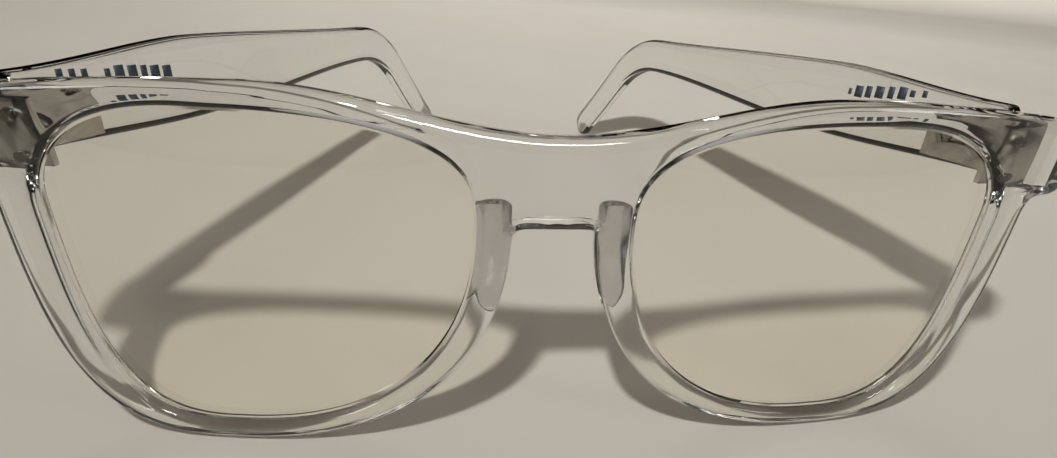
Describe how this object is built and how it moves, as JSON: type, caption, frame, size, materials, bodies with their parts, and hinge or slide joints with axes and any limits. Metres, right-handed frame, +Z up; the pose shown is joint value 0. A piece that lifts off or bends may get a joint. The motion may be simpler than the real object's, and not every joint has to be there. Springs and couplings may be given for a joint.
{
  "type": "blue light glasses",
  "caption": "Clear plastic-framed spectacles with lightly tinted lenses, nose pads and folding side arms on metal hinges.",
  "frame": {"origin": "middle of the bounding box at table level; the part stands open on its two lower rims and its two temple tips", "axes": "+X towards the wearer's left, +Y from the front towards the ears, +Z up; the front faces -Y"},
  "size_m": [0.139, 0.1454, 0.049],
  "materials": {
    "frame": "polished clear plastic",
    "lens": "clear with a faint warm filter tint",
    "nose_pad": "satin clear plastic",
    "hinge": "nickel plated",
    "screw": "satin steel"
  },
  "bodies": {
    "front": {"front_frame": "frame", "lens_right": "lens", "lens_left": "lens", "nose_pad_right": "nose_pad", "nose_pad_left": "nose_pad", "front_hinge_leaf_right": "hinge", "front_hinge_leaf_left": "hinge", "hinge_screw_right": "screw", "hinge_screw_left": "screw", "front_leaf_screw_right_1": "screw", "front_leaf_screw_right_2": "screw", "front_leaf_screw_left_1": "screw", "front_leaf_screw_left_2": "screw"},
    "temple_right": {"temple_right": "frame", "temple_hinge_leaf_right": "hinge", "temple_leaf_screw_right_1": "screw", "temple_leaf_screw_right_2": "screw"},
    "temple_left": {"temple_left": "frame", "temple_hinge_leaf_left": "hinge", "temple_leaf_screw_left_1": "screw", "temple_leaf_screw_left_2": "screw"}
  },
  "joints": [
    {"name": "fold_right", "type": "hinge", "parent": "front", "child": "temple_right", "pos_m": [-0.064, -0.06003, 0.0412], "axis": [0, -0.0848, -0.9964], "range_deg": [-14, 60]},
    {"name": "fold_left", "type": "hinge", "parent": "front", "child": "temple_left", "pos_m": [0.064, -0.06003, 0.0412], "axis": [0, 0.0848, 0.9964], "range_deg": [-14, 76]}
  ]
}
